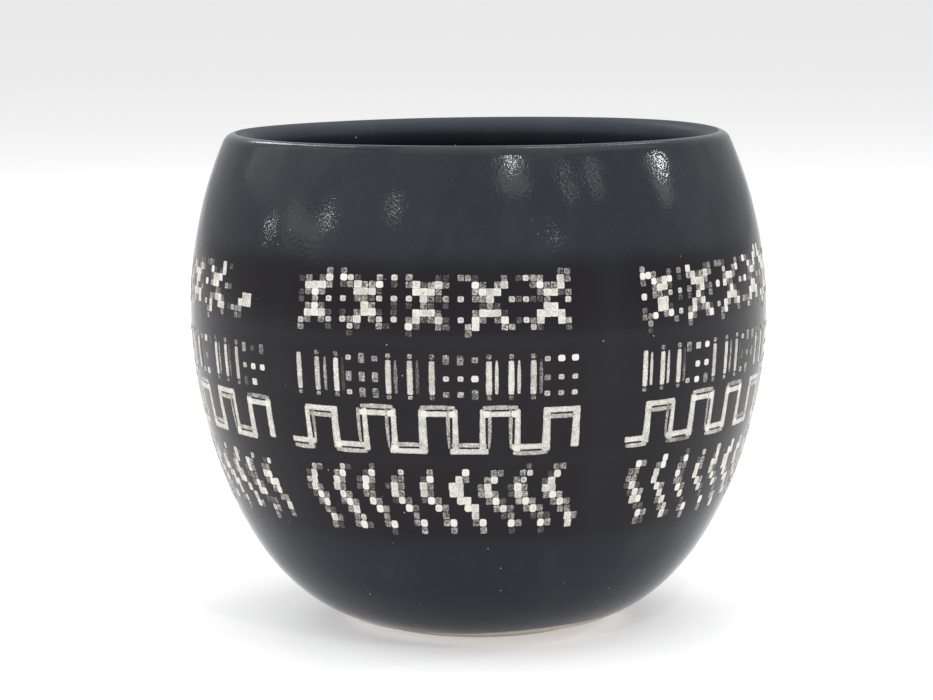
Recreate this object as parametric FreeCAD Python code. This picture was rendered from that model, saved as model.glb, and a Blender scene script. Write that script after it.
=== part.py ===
import FreeCAD, Part
import math
import os

# A round stoneware planter: a thick clay body, a dark glaze outside and a dark glaze inside,
# and five stamped panels of pale slip let into the outer glaze, each panel with four bands.
# Millimetres. +Z is up along the pot's axis, z = 0 is the plane that the foot stands on,
# and the middle of the front panel faces -Y. The smallest windows in the glaze are about 1.4 mm.

# ---- driving dimensions: the pot
pot_height = 127.3
belly_radius = 75.0
belly_height = 80.0         # height of the widest ring
shoulder_rise = 93.0        # height above the belly at which the shoulder's curve would close
foot_radius = 30.0          # outer edge of the ring that the pot stands on
bowl_side_power = 1.70      # how fast the lower wall leaves the vertical, 2 for an ellipse
bowl_base_power = 3.33      # how flat the lower wall turns in towards the foot, 2 for an ellipse
wall = 6.8                  # clay and both glazes together
floor_thickness = 9.0       # clay and inner glaze at the centre, above the standing plane
cavity_power = 2.3          # fullness of the hollow's lower half, 2 for an ellipse
foot_edge = 0.5             # round on the foot's outer edge
foot_ring_width = 6.0
foot_recess = 1.5           # hollow under the pot, inside the foot ring
foot_recess_slope = 1.0     # how far the hollow's side leans in

# ---- driving dimensions: the coats
glaze = 0.5                 # both glaze coats
glaze_line = 1.9            # height at which the outer glaze stops above the bare foot
slip_sink = 0.1             # how far the pale slip lies below the outer glaze's surface

# ---- driving dimensions: the stamped panels, angles in degrees round the pot
panel_count = 5
front_left_gap = 4.7        # plain glaze to the left of the front panel
front_right_gap = 9.7       # plain glaze to the right of the front panel
back_gap = 18.9             # plain glaze between the other panels
front_panel_turn = -9.9     # where the front panel's middle is, from the front, + towards +X
cells_across = 41.6         # stamp cells across one panel
cell_height = 1.63
cell_web = 0.28             # glaze left standing between two windows of slip

# Each band's top edge, measured up from the belly, and its left edge, in cells.
crosses_top = 17.9
crosses_inset = 2.4
bars_top = -0.8
bars_inset = 2.2
meander_top = -13.1
meander_inset = 0.0
chevrons_top = -28.9
chevrons_inset = 1.1

# Bars and dots.
bar_height = 10.2
bar_width = 0.9             # in cells, like the other widths of this band
bar_step = 2.9
bars_in_group = 3
bar_groups = 3
dot_step = 1.85
dot_lead = 1.95             # from a group's last bar to its first column of dots
group_lead = 1.75           # from a group's last column of dots to the next group's first bar
dot_rows = 3
dot_columns = 3

# Meander.
meander_height = 12.1
meander_line = 3.0          # height of its level runs
meander_stroke = 1.45       # width of its upright runs, in cells
meander_period = 8.35       # in cells
meander_first_rise = 3.4    # first upright's middle, in cells
meander_fall = 4.1          # from an upright that rises to the next that falls, in cells
meander_waves = 5

# Chevrons.
chevron_step = 4.5          # in cells
chevron_count = 9
chevron_bottom_row = 9

# Motifs, a letter for each cell of slip, rows from the top down.
CROSS = (
    "X...X.X.",
    "XXXXX...",
    ".XXXX...",
    "X.XXX.X.",
    "..X.....",
    ".XXXX...",
    "XX.XX.X.",
    "X...X...",
)
crosses_count = 5
CHEVRON = (
    "..XX",
    ".XX.",
    "X...",
    "X...",
    "XX..",
    ".XX.",
    "..XX",
    "...X",
    "...X",
    "...X",
)

# ---- worked out from the dimensions above
side_gaps = front_left_gap + front_right_gap
panel_angle = (360.0 - side_gaps - back_gap * (panel_count - 2)) / panel_count
cell_angle = panel_angle / cells_across
bowl_narrowing = 1.0 - (foot_radius / belly_radius) ** bowl_base_power
bowl_drop = belly_height / bowl_narrowing ** (1.0 / bowl_side_power)
lip_round = wall / 2.0
STATIONS = 14               # points that carry each half of a wall's curve
AXIS = FreeCAD.Vector(0, 0, 1)
ORIGIN = FreeCAD.Vector(0, 0, 0)


def at(radius, height):
    """A point of a section, drawn in the XZ plane."""
    return FreeCAD.Vector(radius, 0, height)


def shoulder_point(turn, depth):
    """The wall above the belly, at an angle up its ellipse, and depth below its outside."""
    radius = belly_radius * math.cos(turn)
    rise = shoulder_rise * math.sin(turn)
    slope = FreeCAD.Vector(radius / belly_radius ** 2, 0, rise / shoulder_rise ** 2)
    slope.normalize()
    return at(radius, belly_height + rise) - slope * depth


def lip_turn():
    """The angle up the shoulder at which the round lip starts, so that its top is the pot's height."""
    low = 0.0
    high = math.pi / 2
    for _ in range(60):
        middle = (low + high) / 2
        if shoulder_point(middle, lip_round).z + lip_round > pot_height:
            high = middle
        else:
            low = middle
    return low


def bowl_point(turn, depth):
    """The wall below the belly, at an angle down its curve, and depth below its outside."""
    radius = belly_radius * math.cos(turn) ** (2 / bowl_base_power)
    drop = bowl_drop * math.sin(turn) ** (2 / bowl_side_power)
    outward = (radius / belly_radius) ** (bowl_base_power - 1) * bowl_base_power / belly_radius
    downward = (drop / bowl_drop) ** (bowl_side_power - 1) * bowl_side_power / bowl_drop
    slope = FreeCAD.Vector(outward, 0, -downward)
    slope.normalize()
    return at(radius, belly_height - drop) - slope * depth


def cavity_point(turn, depth):
    """The hollow below the belly, down to the floor at the axis."""
    radius = (belly_radius - depth) * math.cos(turn) ** (2 / cavity_power)
    floor = floor_thickness - (wall - depth)
    drop = (belly_height - floor) * math.sin(turn) ** (2 / cavity_power)
    return at(radius, belly_height - drop)


def curve(points, end_tangent=None):
    """One smooth edge through the points."""
    spline = Part.BSplineCurve()
    if end_tangent is None:
        spline.interpolate(points)
    else:
        start_tangent = (points[1] - points[0]).normalize()
        spline.interpolate(Points=points, InitialTangent=start_tangent, FinalTangent=end_tangent)
    return spline.toShape()


def outer_edge(depth):
    """The outside of the wall at a depth, from the lip down to the glaze line."""
    top = lip_turn()
    bottom = math.asin(((belly_height - glaze_line) / bowl_drop) ** (bowl_side_power / 2))
    upper = [shoulder_point(top * (1 - i / STATIONS), depth) for i in range(STATIONS)]
    lower = [bowl_point(bottom * i / STATIONS, depth) for i in range(STATIONS + 1)]
    return curve(upper + lower)


def inner_edge(depth):
    """The inside of the wall at a depth, from the lip down to the floor at the axis."""
    top = lip_turn()
    upper = [shoulder_point(top * (1 - i / STATIONS), depth) for i in range(STATIONS)]
    lower = [cavity_point(math.pi / 2 * i / STATIONS, depth) for i in range(STATIONS)]
    floor = at(0, floor_thickness - (wall - depth))
    return curve(upper + lower + [floor], FreeCAD.Vector(-1, 0, 0))


def start_of(edge):
    """The end of a wall's edge at the lip."""
    return edge.valueAt(edge.FirstParameter)


def end_of(edge):
    """The other end of a wall's edge."""
    return edge.valueAt(edge.LastParameter)


def lip_arc(start, end, radius):
    """An arc of the lip, about the lip's own centre, by way of its middle."""
    centre = shoulder_point(lip_turn(), lip_round)
    middle = (start - centre) + (end - centre)
    if middle.Length < radius / 10:
        middle = at(0, 1)
    middle.normalize()
    return Part.Arc(start, centre + middle * radius, end).toShape()


def lip_crest(radius):
    """The top point of a round about the lip's centre."""
    return shoulder_point(lip_turn(), lip_round) + at(0, radius)


def line(start, end):
    """A straight edge."""
    return Part.LineSegment(start, end).toShape()


def turned(edges, start=0.0, angle=360.0):
    """The solid that a closed section sweeps round the pot's axis."""
    face = Part.Face(Part.Wire(Part.sortEdges(edges)[0]))
    face.rotate(ORIGIN, AXIS, start)
    return face.revolve(ORIGIN, AXIS, angle)


def clay_body():
    """The thrown clay: wall, round lip, floor, and a foot ring round a shallow hollow."""
    outside = outer_edge(glaze)
    inside = inner_edge(wall - glaze)
    rim = lip_round - glaze
    ring_inside = foot_radius - foot_ring_width
    foot_side = at(foot_radius, foot_edge)
    foot_bottom = at(foot_radius - foot_edge, 0)
    round_middle = at(foot_radius - foot_edge + foot_edge * math.sqrt(0.5),
                      foot_edge - foot_edge * math.sqrt(0.5))
    recess_side = at(ring_inside - foot_recess_slope, foot_recess)
    edges = [
        outside,
        line(end_of(outside), foot_side),
        Part.Arc(foot_side, round_middle, foot_bottom).toShape(),
        line(foot_bottom, at(ring_inside, 0)),
        line(at(ring_inside, 0), recess_side),
        line(recess_side, at(0, foot_recess)),
        line(at(0, foot_recess), end_of(inside)),
        inside,
        lip_arc(start_of(inside), start_of(outside), rim),
    ]
    return turned(edges)


def outer_glaze_section():
    """The outer coat's section, from the lip's crest to the glaze line."""
    skin = outer_edge(0.0)
    back = outer_edge(glaze)
    return [
        lip_arc(lip_crest(lip_round), start_of(skin), lip_round),
        skin,
        line(end_of(skin), end_of(back)),
        back,
        lip_arc(start_of(back), lip_crest(lip_round - glaze), lip_round - glaze),
        line(lip_crest(lip_round - glaze), lip_crest(lip_round)),
    ]


def inner_glaze():
    """The coat inside the pot, from the lip's crest down over the floor."""
    skin = inner_edge(wall)
    back = inner_edge(wall - glaze)
    return turned([
        lip_arc(lip_crest(lip_round), start_of(skin), lip_round),
        skin,
        line(end_of(skin), end_of(back)),
        back,
        lip_arc(start_of(back), lip_crest(lip_round - glaze), lip_round - glaze),
        line(lip_crest(lip_round - glaze), lip_crest(lip_round)),
    ])


def slip_layer():
    """All the room that slip can fill: the outer coat's thickness, less the depth it lies sunk."""
    front = outer_edge(slip_sink)
    back = outer_edge(glaze)
    return turned([
        front,
        line(end_of(front), end_of(back)),
        back,
        line(start_of(back), start_of(front)),
    ])


def window(left, right, top, bottom):
    """A block through the outer coat. Left and right are cells from the panel's left edge,
    top and bottom are heights above the belly."""
    start = left * cell_angle
    inner = belly_radius / 2
    outer = belly_radius + wall
    high = belly_height + top
    low = belly_height + bottom
    corners = [at(inner, low), at(outer, low), at(outer, high), at(inner, high)]
    edges = [line(corners[i], corners[(i + 1) % 4]) for i in range(4)]
    return turned(edges, start, (right - left) * cell_angle)


def run(left, right, top, bottom):
    """A window with half a web of glaze kept on each side."""
    side = math.degrees(cell_web / belly_radius) / cell_angle / 2
    return window(left + side, right - side, top - cell_web / 2, bottom + cell_web / 2)


def level_runs(row):
    """The first and last cell of each run of X in a chart's row."""
    runs = []
    for i, letter in enumerate(row + "."):
        if letter == "X" and (i == 0 or row[i - 1] != "X"):
            first = i
        if letter != "X" and i > 0 and row[i - 1] == "X":
            runs.append((first, i))
    return runs


def crosses():
    """Stepped crosses with a column of dots between them."""
    blocks = []
    for n in range(crosses_count):
        left = crosses_inset + n * len(CROSS[0])
        for i, row in enumerate(CROSS):
            top = crosses_top - i * cell_height
            for first, last in level_runs(row):
                blocks.append(run(left + first, left + last, top, top - cell_height))
    return blocks


def bars():
    """Groups of upright bars, each followed by a square of dots."""
    blocks = []
    bars_across = (bars_in_group - 1) * bar_step
    dots_across = (dot_columns - 1) * dot_step
    group_step = bars_across + dot_lead + dots_across + group_lead
    bottom = bars_top - bar_height
    row_step = (bar_height - cell_height) / (dot_rows - 1)
    for group in range(bar_groups):
        left = bars_inset + group * group_step
        for i in range(bars_in_group):
            start = left + i * bar_step
            blocks.append(window(start, start + bar_width, bars_top, bottom))
        first_dot = left + bars_across + dot_lead
        for i in range(dot_columns):
            start = first_dot + i * dot_step
            for j in range(dot_rows):
                top = bars_top - j * row_step
                blocks.append(window(start, start + bar_width, top, top - cell_height + cell_web))
    return blocks


def meander():
    """One unbroken square wave, with a short foot before its first rise and a free end."""
    half = meander_stroke / 2
    bottom = meander_top - meander_height
    top_run = meander_top - meander_line
    bottom_run = bottom + meander_line
    first_rise = meander_inset + meander_first_rise
    pieces = [window(meander_inset, first_rise + half, bottom_run, bottom)]
    for wave in range(meander_waves):
        rise = first_rise + wave * meander_period
        fall = rise + meander_fall
        pieces.append(window(rise - half, rise + half, meander_top, bottom))
        pieces.append(window(rise - half, fall + half, meander_top, top_run))
        pieces.append(window(fall - half, fall + half, meander_top, bottom))
        if wave < meander_waves - 1:
            next_rise = rise + meander_period
            pieces.append(window(fall - half, next_rise + half, bottom_run, bottom))
    joined = pieces[0].fuse(pieces[1:]).removeSplitter()
    return [joined]


def chevrons():
    """Stepped chevrons that point left, each ending in a dot."""
    blocks = []
    columns = ["".join(row[i] for row in CHEVRON) for i in range(len(CHEVRON[0]))]
    for n in range(chevron_count):
        left = chevrons_inset + n * chevron_step
        for i, column in enumerate(columns):
            for first, last in level_runs(column):
                top = chevrons_top - first * cell_height
                bottom = chevrons_top - last * cell_height
                blocks.append(run(left + i, left + i + 1, top, bottom))
    return blocks


def panel_starts():
    """The angle of each panel's left edge from the front, going round towards +X."""
    front = front_panel_turn - panel_angle / 2
    starts = [front, front + panel_angle + front_right_gap]
    while len(starts) < panel_count:
        starts.append(starts[-1] + panel_angle + back_gap)
    return starts


def rotated(shape, angle):
    """A copy of a shape, turned round the pot's axis."""
    copy = shape.copy()
    copy.rotate(ORIGIN, AXIS, angle)
    return copy


def write(name, shape):
    """One sub-part's file."""
    shape.exportStep(os.path.join("parts", name + ".step"))


def build():
    """Every sub-part of the pot."""
    os.makedirs("parts", exist_ok=True)
    write("clay_body", clay_body())
    write("inner_glaze", inner_glaze())
    bands = {"crosses": crosses(), "bars": bars(), "meander": meander(), "chevrons": chevrons()}
    layer = slip_layer()
    slips = {name: Part.Compound(layer.common(blocks).Solids) for name, blocks in bands.items()}
    blocks = [block for band in bands.values() for block in band]
    windows = []
    facing_front = -90.0
    for number, start in enumerate(panel_starts(), 1):
        turn = facing_front + start
        windows.extend(rotated(block, turn) for block in blocks)
        for name, slip in slips.items():
            write("slip_" + name + "_" + str(number), rotated(slip, turn))
    write("outer_glaze", turned(outer_glaze_section()).cut(windows))


build()
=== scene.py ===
import math
import random

import bpy
import numpy as np
from mathutils import Matrix, Vector


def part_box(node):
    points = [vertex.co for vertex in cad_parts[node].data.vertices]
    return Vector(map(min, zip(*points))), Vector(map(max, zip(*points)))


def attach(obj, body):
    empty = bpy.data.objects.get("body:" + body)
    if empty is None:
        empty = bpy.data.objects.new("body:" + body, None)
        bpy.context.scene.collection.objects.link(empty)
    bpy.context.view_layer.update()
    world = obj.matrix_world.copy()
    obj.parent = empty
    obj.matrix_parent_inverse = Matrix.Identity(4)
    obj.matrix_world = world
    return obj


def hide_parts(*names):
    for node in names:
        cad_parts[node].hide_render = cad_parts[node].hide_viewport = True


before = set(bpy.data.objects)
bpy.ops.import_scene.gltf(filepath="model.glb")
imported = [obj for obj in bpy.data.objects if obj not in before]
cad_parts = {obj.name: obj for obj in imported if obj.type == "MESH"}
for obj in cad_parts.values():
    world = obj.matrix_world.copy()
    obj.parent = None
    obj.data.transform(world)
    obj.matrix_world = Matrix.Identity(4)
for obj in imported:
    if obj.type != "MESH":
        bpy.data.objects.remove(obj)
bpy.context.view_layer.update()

rng = random.Random(11)

# Everything below is worked out in millimetres and written to the meshes in metres.
# A turn is an angle round the pot in degrees: 0 faces the front (-Y), and it grows towards +X.
MM = 0.001

# ---------------------------------------------------------------- the pot's own sizes
glaze_low, glaze_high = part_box("outer_glaze")
clay_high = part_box("clay_body")[1]
POT_HEIGHT = glaze_high.z / MM
BELLY_RADIUS = glaze_high.x / MM
GLAZE_LINE = glaze_low.z / MM
GLAZE = (glaze_high.z - clay_high.z) / MM
FLOOR_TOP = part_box("inner_glaze")[0].z / MM + GLAZE
BELLY_HEIGHT = 80.0
SHOULDER_RISE = 93.0
FOOT_RADIUS = 30.0
SIDE_POWER = 1.70
BASE_POWER = 3.33
CAVITY_POWER = 2.3
WALL = 6.8
LIP = WALL / 2
BOWL_DROP = BELLY_HEIGHT / (1 - (FOOT_RADIUS / BELLY_RADIUS) ** BASE_POWER) ** (1 / SIDE_POWER)
FOOT_RING_WIDTH = 6.0
FOOT_RECESS = 1.5
FOOT_EDGE = 0.5

# ---------------------------------------------------------------- the stamped pattern
# Charts of the stamps, a letter for each cell: # full, O a raised bead, o a dot, m mottled, f faint.
CROSSES = (
    "....m.m.............................fm",
    "fm.mO.Oof..m.o.m...ff.mmf...m.fomm..#m",
    ".###m.fm#mmO.f.m#fm#m...Om.m#...mOmm#.",
    "fmOm....###f....###m....m###.....m##fm",
    "f.m.o.o.mmfo.o.o.#mfm.o.mm#..ofoffm..o",
    ".mOm.....#m..f.f.mf.f....fmf......##..",
    ".###f.f.m##f.f..###m....m###f....####.",
    "om.mo.om#.mo.o.m#fm#f.o.#m.m#.fom#..#m",
    "m...f..of..mf..Of..mm..m#...mm..of...f",
    ".......f.......f.......m..............",
)
# Each chevron's chart starts one column left of its tall bar. TALL_BARS gives the bars' places in cells,
# and LOWERED_ROWS how many rows each chevron was stamped below its neighbours' line.
CHEVRONS = (
    (".om...", "f#....", "o#....", "f#m...", ".fOm..", "..mO..", "...mf.", "....#m", "....mf"),
    ("..of..", ".mO...", ".#m...", ".#m...", "..Om..", "..mOm.", "...m#.", "....mo.", "....mOf"),
    ("..f...", ".fO...", "f#m...", "fOf...", ".mm...", "..Om..", "...Om.", "....m.", "....mO", ".....f"),
    ("......", "..o...", ".mm...", "f#m...", ".#m...", ".fOm..", "...Om.", "....m.", "....mO", ".....m"),
    ("......", "..m...", ".fO...", ".#m...", ".#m...", ".fOm..", "...Om.", "....m.", "....mO", ".....m"),
    ("......", "...O..", "..#m..", ".##...", ".##...", "..O#..", "...O#.", "....#.", "....mO", ".....m"),
    ("......", "..mm..", ".mO...", "m#....", "m#m...", ".mOf..", "..mOm.", "...fm.", "....Om", "....f."),
    ("...f..", "..mo..", ".mo...", "f#m...", "f#m...", ".mOm..", "..mOm.", "...fmf", "....Om", "....f."),
    ("..mm..", ".fO...", "f#....", "##....", "mOm...", ".mOm..", "..mm..", "...#m.", "...#.."),
)
TALL_BARS = (1.35, 5.3, 10.05, 14.5, 18.8, 23.0, 28.05, 32.3, 37.35)
LOWERED_ROWS = (1.0, 0.62, 0.3, 0.0, -0.1, -0.1, 0.0, 0.05, 0.32)
# How each kind of cell is drawn: its half width and height as shares of the pitch, the power of its
# outline (2 an ellipse, 8 a square), how proud its middle is, how thickly slip covers it, and how much
# thinner the slip is in its middle.
CELL_KINDS = {
    "#": {"reach": 0.56, "power": 8.0, "dome": 0.01, "cover": 0.92, "hollow": 0.0},
    "O": {"reach": 0.54, "power": 3.4, "dome": 0.09, "cover": 1.02, "hollow": 0.0},
    "o": {"reach": 0.44, "power": 3.8, "dome": 0.05, "cover": 0.84, "hollow": 0.18},
    "m": {"reach": 0.47, "power": 6.5, "dome": 0.01, "cover": 0.5, "hollow": 0.12},
    "f": {"reach": 0.44, "power": 5.0, "dome": 0.0, "cover": 0.2, "hollow": 0.04},
}
SLIP_RISE = 0.045           # slip's flat top above the glaze


def wall_at(z):
    """The outside wall's radius and outward slope at each height."""
    z = np.asarray(z, float)
    up = np.clip((z - BELLY_HEIGHT) / SHOULDER_RISE, 0, 0.999)
    down = np.clip((BELLY_HEIGHT - z) / BOWL_DROP, 0, 0.9999)
    above = z >= BELLY_HEIGHT
    radius = np.where(above, BELLY_RADIUS * np.sqrt(1 - up**2),
                      BELLY_RADIUS * (1 - down**SIDE_POWER) ** (1 / BASE_POWER))
    share = radius / BELLY_RADIUS
    out = np.where(above, share / BELLY_RADIUS, BASE_POWER / BELLY_RADIUS * share ** (BASE_POWER - 1))
    rise = np.where(above, up / SHOULDER_RISE, -SIDE_POWER / BOWL_DROP * down ** (SIDE_POWER - 1))
    length = np.hypot(out, rise)
    return radius, out / length, rise / length


def lip_start():
    """The height at which the wall turns into the round lip."""
    low, high = BELLY_HEIGHT, POT_HEIGHT
    for _ in range(50):
        middle = (low + high) / 2
        if middle - float(wall_at(middle)[2]) * LIP + LIP > POT_HEIGHT:
            high = middle
        else:
            low = middle
    return low


LIP_START = lip_start()
LIP_RADIUS, LIP_OUT, LIP_UP = (float(v) for v in wall_at(LIP_START))
LIP_CENTRE = (LIP_RADIUS - LIP_OUT * LIP, LIP_START - LIP_UP * LIP)
LIP_TILT = math.atan2(LIP_UP, LIP_OUT)


def unevenness(turn, z):
    """How far the hand-finished wall strays from its true shape."""
    a = np.radians(turn)
    return (0.14 * np.sin(2 * a + 0.6 + z * 0.02) + 0.08 * np.sin(3 * a - 1.1 - z * 0.035)
            + 0.04 * np.sin(5 * a + 2.0 + z * 0.06) + 0.015 * np.sin(z * 0.55 + 2 * a))


def place(radius, z, turn, out, up, proud):
    """Points proud of a round surface, which has those radii, heights and slopes."""
    push = proud + unevenness(turn, z)
    r = radius + out * push
    a = np.radians(turn)
    return np.stack([r * np.sin(a), -r * np.cos(a), z + up * push], -1)


def on_wall(turn, z, proud):
    """Points on the outside wall, or proud of it."""
    radius, out, up = wall_at(z)
    return place(radius, z, turn, out, up, proud)


# ---------------------------------------------------------------- meshes
def mesh_piece(name, points, faces, material, replaced, attributes=None):
    """One smooth-shaded piece of the pot, from points in millimetres."""
    mesh = bpy.data.meshes.new(name)
    mesh.from_pydata((np.asarray(points) * MM).tolist(), [], faces)
    mesh.validate()
    mesh.polygons.foreach_set("use_smooth", [True] * len(mesh.polygons))
    for key, values in (attributes or {}).items():
        layer = mesh.attributes.new(key, "FLOAT", "POINT")
        layer.data.foreach_set("value", np.asarray(values, np.float32))
    mesh.materials.append(material)
    mesh.update()
    piece = bpy.data.objects.new(name, mesh)
    bpy.context.scene.collection.objects.link(piece)
    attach(piece, "root")
    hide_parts(*replaced)
    return piece


def ring_faces(rows, columns, closed):
    """Quads over a grid that goes all the way round, and in closed grids back to its first row."""
    faces = []
    for i in range(rows if closed else rows - 1):
        a = i * columns
        b = ((i + 1) % rows) * columns
        for j in range(columns):
            k = (j + 1) % columns
            faces.append((a + j, b + j, b + k, a + k))
    return faces


def bowl_faces(rows, columns):
    """Quads over the rows, and fans to the two points on the axis that follow them: the first closes
    the first row and the second the last row."""
    faces = ring_faces(rows, columns, False)
    first, last = rows * columns, rows * columns + 1
    end = (rows - 1) * columns
    for j in range(columns):
        k = (j + 1) % columns
        faces.append((first, j, k))
        faces.append((end + k, end + j, last))
    return faces


def even_heights(top, bottom, step):
    """Heights down the wall, an even step apart along its surface."""
    z = np.linspace(top, bottom, 4000)
    r = wall_at(z)[0]
    length = np.concatenate([[0], np.cumsum(np.hypot(np.diff(r), np.diff(z)))])
    count = max(2, int(length[-1] / step) + 1)
    return np.interp(np.linspace(0, length[-1], count), length, z)


def lip_row(tilt, radius, turns):
    """A row of the round lip at a tilt above level."""
    r = LIP_CENTRE[0] + radius * math.cos(tilt)
    z = LIP_CENTRE[1] + radius * math.sin(tilt)
    r -= float(swell_inside(z)) * max(0.0, -math.cos(tilt)) ** 0.8
    full = np.full_like(turns, 1.0)
    return place(r * full, z * full, turns, math.cos(tilt) * full, math.sin(tilt) * full, 0.0)


def glaze_wave(turns):
    """How far the glaze's lower edge strays from level: it stops higher up on the front's right."""
    a = np.radians(turns)
    return (2.9 * np.exp(3.0 * (np.cos(a - 0.72) - 1)) + 0.5 * np.exp(12.0 * (np.cos(a + 1.0) - 1)) - 0.1
            + 0.05 * np.sin(7 * a) + 0.03 * np.sin(13 * a + 2.0) + 0.02 * np.sin(23 * a + 0.7))


def wall_rows(heights, depth, turns):
    """Rows of the wall at a depth, which follow the uneven glaze line near the foot."""
    rows = []
    for z in heights:
        near = math.exp(-((z - GLAZE_LINE) / 6.0))
        z_row = z + glaze_wave(turns) * near
        rows.append(on_wall(turns, z_row, -depth))
    return rows


def outer_glaze(material):
    """The outer coat: a closed skin with a rolled lower edge."""
    columns = 720
    turns = np.arange(columns) * 360.0 / columns
    rows = [lip_row(t, LIP, turns) for t in np.linspace(math.pi / 2, LIP_TILT, 12)]
    rows += wall_rows(even_heights(LIP_START, GLAZE_LINE, 1.45)[1:], 0.0, turns)
    for share in (0.25, 0.6, 1.0):
        bead = GLAZE_LINE - 0.12 * math.sin(math.pi * share)
        rows += wall_rows([bead], GLAZE * share, turns)
    rows += wall_rows(even_heights(GLAZE_LINE + 0.4, LIP_START, 4.5), GLAZE, turns)
    rows += [lip_row(t, LIP - GLAZE, turns) for t in np.linspace(LIP_TILT, math.pi / 2, 6)[1:]]
    points = np.concatenate(rows)
    faces = ring_faces(len(rows), columns, True)
    heights = points[:, 2]
    turn = np.degrees(np.arctan2(points[:, 0], -points[:, 1]))
    return mesh_piece("glaze_outside", points, faces, material, ["outer_glaze"],
                      {"stamped": stamped_share(turn, heights)})


def swell_inside(z):
    """How much thicker the wall is under the lip, which rounds it softly into the hollow."""
    return 1.7 * np.exp(-(((z - 117.0) / 7.5) ** 2))


def cavity_rows(depth, count, turns):
    """Rows of the hollow's wall at a depth below the outside, from the lip to near the axis."""
    rows = []
    full = np.full_like(turns, 1.0)
    for z in even_heights(LIP_START, BELLY_HEIGHT, 3.0)[:-1]:
        radius, out, up = (float(v) for v in wall_at(z))
        height = z - up * depth
        rows.append(place((radius - out * depth - swell_inside(height)) * full, height * full, turns,
                          -out * full, -up * full, 0.0))
    floor = FLOOR_TOP - (WALL - depth)
    for a in np.linspace(0, math.pi / 2, count)[:-1]:
        radius = (BELLY_RADIUS - depth) * math.cos(a) ** (2 / CAVITY_POWER)
        z = BELLY_HEIGHT - (BELLY_HEIGHT - floor) * math.sin(a) ** (2 / CAVITY_POWER)
        rows.append(place(radius * full, z * full, turns, 0 * full, 0 * full, 0.0))
    return rows, floor


def inner_glaze(material):
    """The coat inside the pot."""
    columns = 360
    turns = np.arange(columns) * 360.0 / columns
    inner_tilt = math.pi + LIP_TILT
    skin = [lip_row(t, LIP, turns) for t in np.linspace(math.pi / 2, inner_tilt, 16)]
    more, floor = cavity_rows(WALL, 60, turns)
    skin += more[1:]
    back, under = cavity_rows(WALL - GLAZE, 24, turns)
    back = [lip_row(t, LIP - GLAZE, turns) for t in np.linspace(math.pi / 2, inner_tilt, 6)] + back[1:]
    rows = skin[::-1] + back
    points = np.concatenate(rows + [np.array([[0, 0, floor], [0, 0, under]])])
    faces = bowl_faces(len(rows), columns)
    return mesh_piece("glaze_inside", points, faces, material, ["inner_glaze"])


def clay_body(material):
    """The clay: bare foot ring and underside, and the wall that both coats lie on."""
    columns = 360
    turns = np.arange(columns) * 360.0 / columns
    full = np.full_like(turns, 1.0)
    rim = LIP - GLAZE

    def level(radius, z):
        """A plain round row."""
        return place(radius * full, z * full, turns, 0 * full, 0 * full, 0.0)

    inside, floor = cavity_rows(WALL - GLAZE, 24, turns)
    rows = inside[:0:-1]
    rows += [lip_row(t, rim, turns) for t in np.linspace(math.pi + LIP_TILT, LIP_TILT, 9)]
    for z in even_heights(LIP_START, GLAZE_LINE + 0.6, 2.0)[1:]:
        bare = math.exp(-(((z - GLAZE_LINE) / 6.0) ** 2))
        rows.append(on_wall(turns, z * full, -GLAZE + (GLAZE - 0.08) * bare))
    edge_radius = float(wall_at(GLAZE_LINE + 0.4)[0]) - 0.1
    for share in np.linspace(0, 1, 10):
        radius = edge_radius + (FOOT_RADIUS - edge_radius) * share
        height = GLAZE_LINE + 0.4 + (FOOT_EDGE - GLAZE_LINE - 0.4) * share
        rows.append(level(radius, height))
    for angle in np.linspace(0, math.pi / 2, 6)[1:]:
        rows.append(level(FOOT_RADIUS - FOOT_EDGE * (1 - math.cos(angle)),
                          FOOT_EDGE * (1 - math.sin(angle))))
    ring_inside = FOOT_RADIUS - FOOT_RING_WIDTH
    for radius, z in ((FOOT_RADIUS - 2, 0.0), (ring_inside + 1, 0.0), (ring_inside + 0.3, 0.06),
                      (ring_inside, 0.25), (ring_inside - 0.7, 1.0), (ring_inside - 1.1, 1.35),
                      (ring_inside - 1.8, FOOT_RECESS)):
        rows.append(level(radius, z))
    for radius in np.linspace(ring_inside - 3, 1.5, 16):
        wave = 0.05 * math.sin(radius * 2.2)
        rows.append(level(radius, FOOT_RECESS + wave))
    points = np.concatenate(rows + [np.array([[0, 0, floor], [0, 0, FOOT_RECESS]])])
    faces = bowl_faces(len(rows), columns)
    return mesh_piece("clay", points, faces, material, ["clay_body"])


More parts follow.
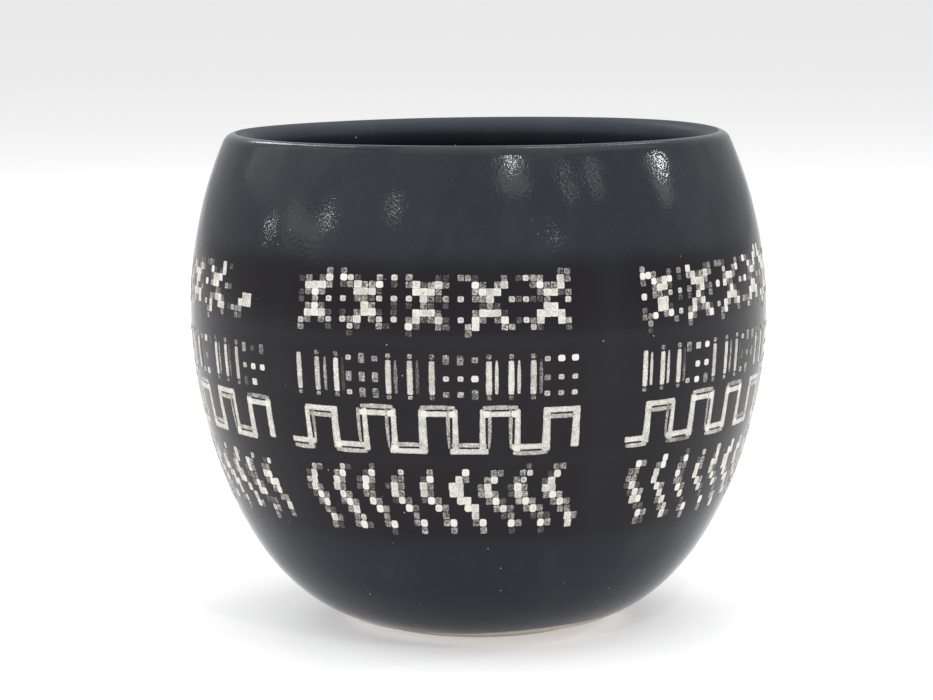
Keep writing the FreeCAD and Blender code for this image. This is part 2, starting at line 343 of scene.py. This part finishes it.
# ---------------------------------------------------------------- slip
class Slip:
    """The slip of one band in one panel: separate closed beads and lines, in one mesh."""

    def __init__(self):
        self.points = []
        self.faces = []
        self.cover = []
        self.count = 0

    def add(self, turn, z, proud, cover, faces):
        self.points.append(on_wall(np.asarray(turn, float), np.asarray(z, float), np.asarray(proud, float)))
        self.cover.append(np.asarray(cover, float))
        self.faces += [tuple(v + self.count for v in face) for face in faces]
        self.count += len(cover)

    def bead(self, turn, z, half_width, half_height, power, dome, cover, hollow=0.0):
        """One cell: a rounded square or round bead, whose rim dips under the glaze."""
        sides = 18
        angles = np.arange(sides) * 2 * math.pi / sides
        u = np.sign(np.cos(angles)) * np.abs(np.cos(angles)) ** (2 / power)
        v = np.sign(np.sin(angles)) * np.abs(np.sin(angles)) ** (2 / power)
        ragged = np.array([1 + rng.uniform(-0.035, 0.035) for _ in range(sides)])
        rings = ((0.5, 0.8, 1.0), (0.8, 0.35, 1.06), (0.94, 0.0, 0.9), (1.03, None, 0.0))
        radius = float(wall_at(z)[0])
        turns, heights, proud, covers = [turn], [z], [SLIP_RISE + dome], [cover - hollow]
        lift = rng.uniform(-0.004, 0.004)
        for scale, swell, share in rings:
            edge = ragged if scale > 0.6 else 1.0
            turns += list(turn + np.degrees(u * half_width * scale * edge / radius))
            heights += list(z + v * half_height * scale * edge)
            rise = -0.07 if swell is None else SLIP_RISE + lift + dome * swell
            proud += [rise] * sides
            covers += [cover * share] * sides
        turns.append(turn)
        heights.append(z)
        proud.append(-GLAZE + 0.05)
        covers.append(0.0)
        faces = []
        last = 1 + len(rings) * sides
        for j in range(sides):
            k = (j + 1) % sides
            faces.append((0, 1 + j, 1 + k))
            for ring in range(len(rings) - 1):
                a, b = 1 + ring * sides, 1 + (ring + 1) * sides
                faces.append((a + j, b + j, b + k, a + k))
            a = 1 + (len(rings) - 1) * sides
            faces.append((last, a + k, a + j))
        self.add(turns, heights, proud, covers, faces)

    def line(self, start, end, half_widths, cover, dome=0.02, bow=0.0, ends=0.35):
        """A straight or bowed line of slip between two places, each a turn and a height. Its half
        widths are given at even steps along it."""
        t = np.linspace(0, 1, 17)
        round_end = np.sqrt(np.clip(1 - ((np.abs(t - 0.5) * 2 - (1 - ends)) / ends).clip(0) ** 2, 0.09, 1))
        width = np.interp(t, np.linspace(0, 1, len(half_widths)), half_widths) * round_end
        width = width * np.array([1 + rng.uniform(-0.06, 0.06) for _ in t])
        turn = start[0] + (end[0] - start[0]) * t
        z = start[1] + (end[1] - start[1]) * t
        radius = wall_at(z)[0]
        along_x = math.radians(end[0] - start[0]) * float(radius.mean())
        along_z = end[1] - start[1]
        length = math.hypot(along_x, along_z)
        side_x, side_z = -along_z / length, along_x / length
        sway = bow * np.sin(math.pi * t)
        across = ((-1.12, -0.07, 0.0), (-0.95, SLIP_RISE, 0.9), (-0.55, SLIP_RISE + dome, 1.0),
                  (0.0, SLIP_RISE + dome, 1.0), (0.55, SLIP_RISE + dome, 1.0),
                  (0.95, SLIP_RISE, 0.9), (1.12, -0.07, 0.0), (0.0, -GLAZE + 0.05, 0.0))
        steps = len(across)
        turns, heights, proud, covers = [], [], [], []
        for share, rise, cover_share in across:
            x = side_x * (share * width + sway)
            turns.append(turn + np.degrees(x / radius))
            heights.append(z + side_z * (share * width + sway))
            proud.append(np.full_like(t, rise))
            fade = np.where((t < 0.02) | (t > 0.98), 0.0, 1.0)
            covers.append(np.full_like(t, cover * cover_share) * fade)
        order = [np.stack(v, 1).ravel() for v in (turns, heights, proud, covers)]
        order[2].reshape(len(t), steps)[[0, -1]] = -0.07
        faces = []
        for i in range(len(t) - 1):
            for j in range(steps):
                k = (j + 1) % steps
                a, b = i * steps, (i + 1) * steps
                faces.append((a + j, b + j, b + k, a + k))
        faces.append(tuple(range(steps)))
        faces.append(tuple(range(len(t) * steps - 1, len(t) * steps - 1 - steps, -1)))
        self.add(order[0], order[1], order[2], order[3], faces)


def band_place(node):
    """A band's first and last turn and its lowest and highest height, from its CAD solids."""
    points = np.array([v.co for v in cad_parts[node].data.vertices]) / MM
    middle = math.atan2(points[:, 0].mean(), -points[:, 1].mean())
    turn = np.arctan2(points[:, 0], -points[:, 1]) - middle
    turn = np.degrees((turn + math.pi) % (2 * math.pi) - math.pi + middle)
    return {"left": turn.min(), "right": turn.max(), "bottom": points[:, 2].min(), "top": points[:, 2].max()}


BANDS = ("crosses", "bars", "meander", "chevrons")
PANELS = range(1, 6)
LEFT_PANEL = 5
PLACES = {(band, n): band_place(f"slip_{band}_{n}") for band in BANDS for n in PANELS}


def stamped_share(turn, z):
    """1 on the glaze round the stamps and 0 away from them, with a soft edge."""
    share = np.zeros_like(z)
    for box in PLACES.values():
        middle = (box["left"] + box["right"]) / 2
        away = np.abs((turn - middle + 180) % 360 - 180) - (box["right"] - box["left"]) / 2
        beyond = np.maximum(away * 0.4, 0)
        over = np.maximum(np.maximum(z - box["top"], box["bottom"] - z), 0)
        share = np.maximum(share, np.exp(-((np.hypot(beyond, over) / 4.0) ** 2)))
    return share


WEAR = {"#": "####Om", "O": "OOO#o", "o": "ooOm", "m": "mmm#f.", "f": "ff.m"}


def worn(letter, panel):
    """The front panel keeps its chart; on the others some cells took more or less slip."""
    if letter == "." or panel == 1:
        return letter
    return rng.choice(WEAR[letter])


def draw_row(slip, panel, letters, height, half_height, turn_of, drop=lambda turn: 0.0):
    """Draws one row of a chart as beads, each as wide as its column."""
    for column, letter in enumerate(letters):
        letter = worn(letter, panel)
        kind = CELL_KINDS.get(letter)
        if kind is None:
            continue
        size = 2 * kind["reach"] * rng.uniform(0.96, 1.03)
        turn = turn_of(column) + rng.uniform(-0.03, 0.03)
        z = height - drop(turn) + rng.uniform(-0.04, 0.04)
        half_width = math.radians(turn_of(column + 0.5) - turn_of(column - 0.5)) / 2
        slip.bead(turn, z, half_width * float(wall_at(z)[0]) * size, half_height * size, kind["power"],
                  kind["dome"], kind["cover"] * rng.uniform(0.92, 1.05), kind["hollow"])


def droop(turn, box, left_drop, right_drop):
    """How far the stamp sagged towards the ends of its band."""
    u = (turn - box["left"]) / (box["right"] - box["left"])
    return left_drop * max(0.0, 1 - u / 0.4) ** 2 + right_drop * max(0.0, (u - 0.65) / 0.35) ** 2


def crosses_chart(panel):
    """The front panel's chart. The left one lacks the last cross's upper half, and the others start
    at a whole cross."""
    if panel == 1:
        return CROSSES
    if panel == LEFT_PANEL:
        return [row[:31 if number < 5 else 36] for number, row in enumerate(CROSSES)]
    return [row[5:] + row[5:15] for row in CROSSES]


def draw_crosses(slip, panel, box):
    """Stepped crosses. The front stamp is stretched a little towards the panel's left."""
    columns = 39
    stretch = 0.125
    width = box["right"] - box["left"]
    step = 1.64
    whole_start = PLACES["meander", panel]["left"] + 1.65
    whole_pitch = 1.255

    def turn_of(column):
        if panel not in (1, LEFT_PANEL):
            return whole_start + whole_pitch * (column + 0.5)
        u = (column + 0.5) / columns
        return box["left"] + width * (u + stretch * u * (1 - u) ** 1.5)

    for row, letters in enumerate(crosses_chart(panel)):
        draw_row(slip, panel, letters, box["top"] + 0.95 - step * row, step / 2, turn_of,
                 lambda turn: droop(turn, box, 1.15, 0.6))


def draw_chevrons(slip, panel, box):
    """Stepped chevrons, whose rows grow taller towards the foot and fan out a little."""
    column = (box["right"] - box["left"]) / 40.6
    middle = (box["left"] + box["right"]) / 2 + 0.6
    fan = 0.011

    def height_of(row):
        return box["top"] + 0.75 - 1.72 * row - 0.016 * row**2

    for figure, bar, lowered in zip(CHEVRONS, TALL_BARS, LOWERED_ROWS):
        start = box["left"] + 0.5 + (bar - 1) * column
        for step, letters in enumerate(figure):
            row = step + lowered
            spread = 1 + fan * (row - 2.5)
            draw_row(slip, panel, letters, height_of(row), (height_of(row - 0.5) - height_of(row + 0.5)) / 2,
                     lambda c: middle + (start + c * column - middle) * spread)


# Bars and dots, group by group: how much slip each bar's second line took, and the square of dots.
SECOND_LINES = ((0.0, 0.6, 0.12), (0.5, 0.24, 0.0), (0.85, 0.85, 0.3))
DOT_SQUARES = (("omm", "mmm", "omm"), ("mmm", "ooO", "mmm"), ("oOO", "moo", "ooo"))


def draw_bar(slip, turn, top, bottom, capped, second, cell):
    """An upright bar with a small mottled cell at each end, and its thinner second line."""
    reach = rng.uniform(0.0, 0.5)
    if capped:
        slip.bead(turn, top - 0.35, 0.62, 0.6, 3.4, 0.0, 0.5, 0.15)
        reach = 1.0
    cover = rng.uniform(0.8, 0.95)
    widths = (0.62, 0.7, 0.72, 0.72, 0.66)
    slip.line((turn, top - reach), (turn, bottom + 0.3), widths, cover, ends=0.08)
    slip.bead(turn, bottom - 0.1, 0.6, 0.5, 4.0, 0.0, 0.45)
    if second > 0:
        away = 1.22 if second == 0.6 else 1.0
        slip.line((turn + away * cell, top - 0.9), (turn + away * cell, bottom + 0.5),
                  (0.2, 0.42, 0.45, 0.35), second, ends=0.1)


def draw_dots(slip, panel, square, left, heights, cell):
    """A square of dots, three by three."""
    for letters, z in zip(square, heights):
        for column, letter in enumerate(letters):
            letter = worn(letter, panel)
            kind = CELL_KINDS.get(letter)
            if kind is None:
                continue
            turn = left + 1.87 * column * cell
            tall = 1.75 if letter in "mf" and rng.random() < 0.7 else 1.0
            slip.bead(turn, z, kind["reach"] * 1.7, kind["reach"] * 1.5 * tall, kind["power"],
                      kind["dome"], kind["cover"] * rng.uniform(0.9, 1.05), kind["hollow"])


def draw_bars(slip, panel, box):
    """Groups of upright bars, most with a second thinner line, each followed by a square of dots."""
    cells_wide = 38.45
    group_pitch, bar_pitch, dots_lead = 13.2, 2.9, 7.65
    cell = (box["right"] - box["left"]) / cells_wide
    top, bottom = box["top"] - 0.3, box["bottom"] - 0.3
    for group in range(3):
        order = group if panel == 1 else (group + panel) % 3
        left = box["left"] + (0.45 + group_pitch * group) * cell
        for bar in range(3):
            draw_bar(slip, left + bar_pitch * bar * cell, top, bottom, group + bar > 0,
                     SECOND_LINES[order][bar], cell)
        heights = (top - 1.1, (top + bottom) / 2 - 0.5, bottom + 0.75)
        draw_dots(slip, panel, DOT_SQUARES[order], left + dots_lead * cell, heights, cell)


# The meander, piece by piece: where each piece's thin second line lies. l and r on uprights, u and d on
# level runs, b for one broad line.
RISES, TOPS, FALLS, BOTTOMS = "rlbrb", "duuud", "blllb", "duud"


def draw_meander(slip, panel, box):
    """A square wave of doubled lines, with beads where the slip pooled at the corners."""
    cell = (box["right"] - box["left"]) / 41.63
    top, bottom = box["top"] - 0.25, box["bottom"] - 0.25
    half_stroke = 0.72 * cell
    half_run = 1.42
    first_rise, period, fall_after = 3.4, 8.35, 4.1

    def pick(styles, index):
        return styles[index] if panel == 1 else rng.choice(styles)

    def upright(turn, style, low, high):
        if style == "b":
            slip.line((turn, high), (turn, low), (0.95, 0.92, 1.0, 1.05), 0.9, ends=0.05)
            return
        side = -1 if style == "l" else 1
        slip.line((turn - side * 0.3 * cell, high), (turn - side * 0.3 * cell, low),
                  (0.62, 0.66, 0.72, 0.85), 0.9, ends=0.06)
        slip.line((turn + side * 0.62 * cell, high - 0.2), (turn + side * 0.55 * cell, low + 1.0),
                  (0.4, 0.46, 0.4, 0.2), rng.uniform(0.52, 0.72), bow=0.12 * side, ends=0.15)

    def level(left, right, z, style):
        if style == "b":
            slip.line((left, z), (right, z), (0.9, 0.95, 0.9), 0.88, ends=0.05)
            return
        side = 1 if style == "u" else -1
        broad = z - side * 0.52
        thin = z + side * 1.0
        slip.line((left, broad), (right, broad), (0.72, 0.68, 0.66, 0.72), 0.92, ends=0.05)
        mottled = panel != 1 and rng.random() < 0.4
        slip.line((left + 0.25 * cell, thin), (right - 0.25 * cell, thin),
                  (0.42, 0.54, 0.54, 0.42), 0.5 if mottled else 0.74, bow=0.1 * side, ends=0.12)

    start = box["left"] + (first_rise + 0.25) * cell
    level(box["left"], start + half_stroke, bottom + half_run, "d")
    for wave in range(5):
        rise = start + wave * period * cell
        fall = rise + fall_after * cell
        crest = top - droop((rise + fall) / 2, box, 1.9, 0.55)
        rise_style, top_style = pick(RISES, wave), pick(TOPS, wave)
        fall_style = pick(FALLS, wave)
        upright(rise, rise_style, bottom + 0.2, crest - 0.3)
        level(rise - half_stroke, fall + half_stroke, crest - half_run, top_style)
        upright(fall, fall_style, bottom + (0.2 if wave < 4 else 1.0), crest - 0.3)
        if top_style == "u":
            for corner in (rise + 0.25 * cell, fall - 0.1 * cell):
                slip.bead(corner, crest - half_run - 0.55, 0.98, 0.86, 2.6, 0.1, 1.0)
        if wave < 4:
            following = rise + period * cell
            style = pick(BOTTOMS, wave)
            level(fall - half_stroke, following + half_stroke, bottom + half_run, style)
            if rng.random() < 0.75:
                slip.bead(fall + 0.2 * cell, bottom + half_run + 0.2, 0.95, 0.85, 2.6, 0.08, 1.0)


DRAW = {"crosses": draw_crosses, "bars": draw_bars, "meander": draw_meander, "chevrons": draw_chevrons}


def slip_piece(band, panel, material):
    """The slip of one band in one panel, in place of its CAD solids."""
    slip = Slip()
    DRAW[band](slip, panel, PLACES[band, panel])
    node = f"slip_{band}_{panel}"
    return mesh_piece(f"{band}_{panel}", np.concatenate(slip.points), slip.faces, material,
                      [node], {"cover": np.clip(np.concatenate(slip.cover), 0, 1.05)})


# ---------------------------------------------------------------- materials
class Shader:
    """A material's nodes, with short ways to add them."""

    def __init__(self, name):
        self.material = bpy.data.materials.new(name)
        self.material.use_nodes = True
        self.tree = self.material.node_tree
        self.shader = self.tree.nodes["Principled BSDF"]
        self.place = self.tree.nodes.new("ShaderNodeTexCoord").outputs["Object"]

    def node(self, kind, inputs=None, **settings):
        made = self.tree.nodes.new("ShaderNode" + kind)
        for key, value in settings.items():
            setattr(made, key, value)
        for key, value in (inputs or {}).items():
            self.set(made.inputs[key], value)
        return made

    def set(self, socket, value):
        if isinstance(value, bpy.types.NodeSocket):
            self.tree.links.new(value, socket)
        else:
            socket.default_value = value

    def noise(self, per_mm, detail=3.0, rough=0.5, seed=0.0, stretch=(1, 1, 1)):
        """Noise with this many lumps to a millimetre."""
        moved = self.node("Mapping", {"Vector": self.place, "Location": (seed, seed * 0.7, -seed),
                                      "Scale": stretch})
        made = self.node("TexNoise", {"Vector": moved.outputs["Vector"], "Scale": per_mm / MM,
                                      "Detail": detail, "Roughness": rough})
        return made.outputs["Fac"]

    def ramp(self, value, low, high, start=0.0, end=1.0):
        """The value taken from low..high to start..end, smoothly."""
        made = self.node("MapRange", {"Value": value, "From Min": low, "From Max": high,
                                      "To Min": start, "To Max": end}, interpolation_type="SMOOTHSTEP")
        return made.outputs["Result"]

    def math(self, operation, a, b=0.5):
        return self.node("Math", {0: a, 1: b}, operation=operation).outputs["Value"]

    def mix(self, share, a, b):
        made = self.node("Mix", data_type="RGBA")
        self.set(made.inputs["Factor"], share)
        self.set(made.inputs["A"], a)
        self.set(made.inputs["B"], b)
        return made.outputs["Result"]

    def bump(self, height, distance_mm, strength=1.0, under=None):
        made = self.node("Bump", {"Height": height, "Distance": distance_mm * MM, "Strength": strength})
        if under is not None:
            self.set(made.inputs["Normal"], under)
        return made.outputs["Normal"]

    def attribute(self, name):
        return self.node("Attribute", attribute_name=name).outputs["Fac"]

    def finish(self, **sockets):
        for key, value in sockets.items():
            self.set(self.shader.inputs[key.replace("_", " ")], value)
        return self.material


def rgb(red, green, blue):
    """A colour from 0..255 screen values."""
    return tuple((v / 255 / 12.92 if v <= 10 else ((v / 255 + 0.055) / 1.055) ** 2.4)
                 for v in (red, green, blue)) + (1.0,)


DARK_GLAZE = rgb(42, 45, 50)
# The glaze's bluer tone near the foot, darkened there as painted shade against the floor's light.
LOW_GLAZE_TONE_AND_SHADE = rgb(34, 36, 45)
GLAZE_BY_STAMPS = rgb(28, 23, 27)
GLAZE_CLOUD = rgb(54, 59, 62)
INSIDE_GLAZE = rgb(62, 66, 74)
# Painted shade: the inside glaze darkened to near black deeper in the hollow.
INSIDE_PAINTED_SHADE = rgb(16, 17, 20)
INSIDE_CLOUD = rgb(72, 77, 83)
CREAM = rgb(224, 222, 213)
SLIP_TONES = ((0.25, rgb(66, 66, 66)), (0.5, rgb(118, 117, 112)), (0.9, rgb(194, 192, 183)))
BARE_CLAY = rgb(202, 194, 184)


def glaze_coat(s, dark, cloud, smooth, rough, index):
    """A satin glaze of some refractive index with a fine orange peel, faint clouds and a few pale specks."""
    clouds = s.ramp(s.noise(0.05, 4.0, 0.6, 3.0, (1, 1, 0.6)), 0.5, 0.75, 0.0, 0.7)
    streaks = s.ramp(s.noise(0.16, 3.0, 0.6, 9.0, (1, 1, 0.22)), 0.55, 0.8, 0.0, 0.35)
    grain = s.ramp(s.noise(1.6, 4.0, 0.65, 5.0), 0.35, 0.7, 0.0, 0.22)
    colour = s.mix(streaks, s.mix(clouds, dark, cloud), cloud)
    colour = s.mix(grain, colour, cloud)
    specks = s.ramp(s.noise(1.3, 0.0, 0.5, 21.0), 0.895, 0.905)
    colour = s.mix(specks, colour, rgb(190, 192, 196))
    peel = s.noise(1.3, 2.0, 0.5, 1.0)
    swell = s.noise(0.16, 2.0, 0.5, 2.0)
    normal = s.bump(peel, 0.05, 0.75, s.bump(swell, 0.12, 0.5))
    gloss = s.ramp(s.noise(0.35, 3.0, 0.6, 13.0), 0.3, 0.75, smooth, rough)
    s.shader.inputs["IOR"].default_value = index
    return s.finish(Base_Color=colour, Roughness=gloss, Normal=normal)


def outside_material():
    """The glaze outside, darker and warmer round the stamps, and bluer and darker towards the foot, where
    the darkening is painted shade against the floor's light.
    """
    s = Shader("glaze_outside")
    by_stamps = s.math("MULTIPLY", s.attribute("stamped"), 0.75)
    height = s.node("SeparateXYZ", {"Vector": s.place}).outputs["Z"]
    # How much painted shade, together with the bluer tone, the glaze takes towards the foot.
    low = s.ramp(height, 60 * MM, 15 * MM)
    dark = s.mix(by_stamps, s.mix(low, DARK_GLAZE, LOW_GLAZE_TONE_AND_SHADE), GLAZE_BY_STAMPS)
    cloud = s.mix(by_stamps, s.mix(low, GLAZE_CLOUD, DARK_GLAZE), GLAZE_BY_STAMPS)
    return glaze_coat(s, dark, cloud, 0.08, 0.12, 1.22)


def inside_material():
    """The glaze inside, grey below the lip, with painted shade that darkens it to near black further down.
    """
    s = Shader("glaze_inside")
    height = s.node("SeparateXYZ", {"Vector": s.place}).outputs["Z"]
    # Painted shade, growing from the lip down into the hollow.
    painted_shade = s.ramp(height, 127.0 * MM, 117.5 * MM)
    return glaze_coat(s, s.mix(painted_shade, INSIDE_GLAZE, INSIDE_PAINTED_SHADE), s.mix(painted_shade, INSIDE_CLOUD, INSIDE_PAINTED_SHADE),
                      0.36, 0.42, 1.12)


def slip_material():
    """Pale slip: cream where it is thick, grey where it is thin, with a fine broken grain."""
    s = Shader("pale_slip")
    cover = s.attribute("cover")
    grain = s.math("SUBTRACT", s.ramp(s.noise(2.8, 3.0, 0.7, 4.0), 0.3, 0.7), 0.5)
    drift = s.math("SUBTRACT", s.noise(0.45, 2.0, 0.5, 14.0), 0.5)
    uneven = s.math("ADD", s.math("MULTIPLY", grain, 0.85), s.math("MULTIPLY", drift, 1.0))
    thin = s.math("SUBTRACT", 1.12, cover)
    broken = s.math("MULTIPLY", uneven, s.math("MULTIPLY", s.ramp(cover, 0.0, 0.4, 0.15, 1.5), thin))
    thick = s.math("ADD", cover, broken)
    ramp = s.node("ValToRGB", {"Fac": thick})
    stops = ramp.color_ramp.elements
    stops[0].position, stops[0].color = 0.03, GLAZE_BY_STAMPS
    stops[1].position, stops[1].color = 1.0, CREAM
    for position, colour in SLIP_TONES:
        stops.new(position).color = colour
    rough = s.ramp(cover, 0.2, 0.9, 0.34, 0.5)
    normal = s.bump(s.noise(1.7, 3.0, 0.6, 6.0), 0.05, 0.5)
    s.shader.inputs["IOR"].default_value = 1.42
    return s.finish(Base_Color=ramp.outputs["Color"], Roughness=rough, Normal=normal)


def clay_material():
    """Bare fired stoneware: sandy, with darker iron specks."""
    s = Shader("bare_clay")
    sand = s.noise(2.2, 5.0, 0.7, 2.0)
    patches = s.ramp(s.noise(0.12, 3.0, 0.5, 7.0), 0.35, 0.7)
    colour = s.mix(s.ramp(sand, 0.3, 0.7), rgb(178, 168, 156), BARE_CLAY)
    colour = s.mix(s.math("MULTIPLY", patches, 0.35), colour, rgb(190, 176, 160))
    iron = s.ramp(s.noise(1.5, 1.0, 0.5, 31.0), 0.72, 0.76)
    colour = s.mix(s.math("MULTIPLY", iron, 0.6), colour, rgb(96, 74, 58))
    normal = s.bump(sand, 0.08, 0.6)
    return s.finish(Base_Color=colour, Roughness=s.ramp(sand, 0.3, 0.7, 0.8, 0.95), Normal=normal)


def floor_material():
    """A plain pale floor."""
    s = Shader("pale_floor")
    tone = s.mix(s.noise(0.02, 2.0, 0.5), (0.79, 0.79, 0.79, 1), (0.81, 0.81, 0.81, 1))
    return s.finish(Base_Color=tone, Roughness=0.9, Emission_Color=(1, 1, 1, 1), Emission_Strength=0.33)


# ---------------------------------------------------------------- stage
CAMERA_DISTANCE = 733.4
CAMERA_HEIGHT = 171.4
CAMERA_PITCH = math.radians(7.884)
CAMERA_YAW = 0.0043
CAMERA_ROLL = math.radians(0.46)
LENS = 109.1

# The highlights on the front: a name, the turn and height where the glaze shows it, and the lamp's
# width, height and power. On the lip they have only a turn, a width and a power.
GLINT_DISTANCE = 1.5
LIP_GLINT_TILT = 62.0
GLINTS = (
    ("glint_front", 7.3, 125.0, 0.05, 0.06, 2),
    ("halo_front", 7.3, 121.0, 0.3, 0.3, 1.12),
    ("glint_right", 41.5, 122.0, 0.04, 0.08, 1.88),
    ("halo_right", 40.5, 118.0, 0.2, 0.3, 0.62),
    ("glint_left", -30.5, 110.5, 0.022, 0.07, 0.56),
    ("glint_mid", -16.3, 113.5, 0.035, 0.035, 0.38),
    ("glint_far_left", -44.5, 107.5, 0.012, 0.09, 0.38),
    ("halo_left", -36.0, 108.0, 0.5, 0.2, 0.75),
    ("streak_inner", 18.5, 119.0, 0.02, 0.25, 0.38),
    ("streak_outer", 24.5, 119.5, 0.03, 0.25, 0.38),
    ("glint_low", 15.0, 106.5, 0.015, 0.07, 0.25),
)
LIP_GLINTS = (
    ("lip_far_left", -51.3, 0.2, 1.25),
    ("lip_left", -34.7, 0.14, 0.75),
    ("lip_middle", 15.6, 0.24, 1),
    ("lip_right", 35.4, 0.16, 0.62),
)


def camera():
    """The camera, looking a little down at the pot's front."""
    data = bpy.data.cameras.new("camera")
    data.lens = LENS
    data.clip_start = 0.01
    data.clip_end = 200
    shot = bpy.data.objects.new("camera", data)
    bpy.context.scene.collection.objects.link(shot)
    turn = Matrix.Rotation(CAMERA_YAW, 3, "Z")
    forward = turn @ Vector((0, math.cos(CAMERA_PITCH), -math.sin(CAMERA_PITCH)))
    level_right = turn @ Vector((1, 0, 0))
    level_up = level_right.cross(forward)
    c, s = math.cos(CAMERA_ROLL), math.sin(CAMERA_ROLL)
    right = c * level_right - s * level_up
    up = s * level_right + c * level_up
    axes = Matrix((right, up, -forward)).transposed().to_4x4()
    shot.matrix_world = Matrix.Translation(Vector((0, -CAMERA_DISTANCE, CAMERA_HEIGHT)) * MM) @ axes
    bpy.context.scene.camera = shot
    return shot


def area_light(name, location, target, width, height, power, tint=(1, 1, 1)):
    """A soft rectangular light."""
    data = bpy.data.lights.new(name, "AREA")
    data.shape = "RECTANGLE"
    data.size = width
    data.size_y = height
    data.energy = power
    data.color = tint
    lamp = bpy.data.objects.new(name, data)
    bpy.context.scene.collection.objects.link(lamp)
    lamp.location = location
    lamp.rotation_euler = (Vector(target) - Vector(location)).to_track_quat("-Z", "Y").to_euler()
    return lamp


def mirror_light(name, at, normal, distance, width, height, power):
    """A small light placed so that the camera sees it mirrored at one place on the glaze."""
    eye = Vector((0, -CAMERA_DISTANCE, CAMERA_HEIGHT)) * MM
    view = (at - eye).normalized()
    away = view - 2 * view.dot(normal) * normal
    return area_light(name, at + away * distance, at, width, height, power)


def glint(name, turn, z, width, height, power):
    """A highlight on the outside wall."""
    at = Vector(on_wall(np.array(turn), np.array(z), np.array(0.0))) * MM
    out, up = (float(v) for v in wall_at(z)[1:])
    a = math.radians(turn)
    normal = Vector((out * math.sin(a), -out * math.cos(a), up))
    return mirror_light(name, at, normal, GLINT_DISTANCE, width, height, power)


def lip_glint(name, turn, width, power):
    """A short highlight along the lip's crest."""
    a, t = math.radians(turn), math.radians(LIP_GLINT_TILT)
    out = Vector((math.sin(a), -math.cos(a), 0))
    normal = out * math.cos(t) + Vector((0, 0, math.sin(t)))
    at = (out * LIP_CENTRE[0] + Vector((0, 0, LIP_CENTRE[1])) + normal * LIP) * MM
    return mirror_light(name, at, normal, GLINT_DISTANCE, width, 0.3, power)


def floor():
    """A plain pale floor, wide enough to fill the view."""
    mesh = bpy.data.meshes.new("floor")
    half, rim = 30.0, 64
    ring = [(half * math.cos(2 * math.pi * i / rim), half * math.sin(2 * math.pi * i / rim), -0.00005)
            for i in range(rim)]
    mesh.from_pydata(ring, [], [tuple(range(rim))])
    mesh.materials.append(floor_material())
    piece = bpy.data.objects.new("floor", mesh)
    bpy.context.scene.collection.objects.link(piece)


def surroundings():
    """A white room."""
    world = bpy.data.worlds.new("white_room")
    world.use_nodes = True
    world.node_tree.nodes["Background"].inputs["Color"].default_value = (1, 1, 1, 1)
    world.node_tree.nodes["Background"].inputs["Strength"].default_value = 0.6
    bpy.context.scene.world = world
    bpy.context.scene.view_settings.view_transform = "Standard"


def lights():
    """Broad soft light from the left and above, and the small lamps that the glaze mirrors."""
    target = (0, 0, 0.07)
    area_light("key", (-1.4, -1.3, 1.6), target, 2.4, 2.4, 9)
    area_light("overhead", (0.3, -0.1, 1.5), target, 1.8, 1.8, 12)
    area_light("over_left", (-0.42, 0.05, 0.42), (0.055, 0.02, 0.122), 0.4, 0.4, 0.4)
    for lamp in GLINTS:
        glint(*lamp)
    for lamp in LIP_GLINTS:
        lip_glint(*lamp)


camera()
outer_glaze(outside_material())
inner_glaze(inside_material())
clay_body(clay_material())
slip_look = slip_material()
for band_name in BANDS:
    for panel_number in PANELS:
        slip_piece(band_name, panel_number, slip_look)
floor()
surroundings()
lights()
